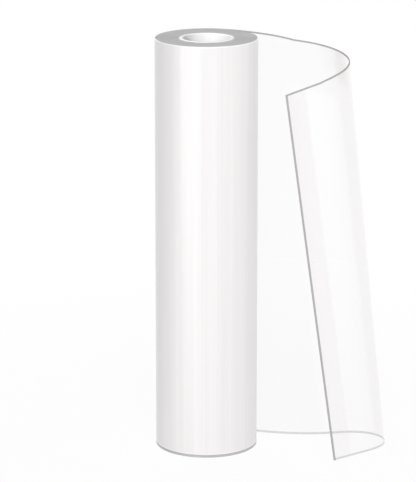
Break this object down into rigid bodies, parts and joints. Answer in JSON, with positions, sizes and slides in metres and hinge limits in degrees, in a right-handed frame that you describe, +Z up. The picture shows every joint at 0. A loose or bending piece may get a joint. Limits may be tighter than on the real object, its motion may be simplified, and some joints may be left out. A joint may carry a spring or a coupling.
{
  "type": "protective film roll",
  "caption": "Roll of clear protective film wound on a white core tube, standing on end with its outer turn unwound into a curling tail.",
  "frame": {"origin": "on the axis of the core's bore, at the end of the roll that it stands on", "axes": "+Z up along the bore's axis; +X towards the side where the outer turn runs out into the tail; -Y towards the side that the tail's free edge curls round to"},
  "size_m": [0.251, 0.2485, 0.45],
  "materials": {
    "core_tube": "smooth glossy white tube wall with a slightly duller cut rim",
    "clear_film": "clear glossy film, milky white where it is wound tight and grey on its cut ends"
  },
  "bodies": {
    "root": {"core": "core_tube", "film": "clear_film"}
  },
  "joints": []
}
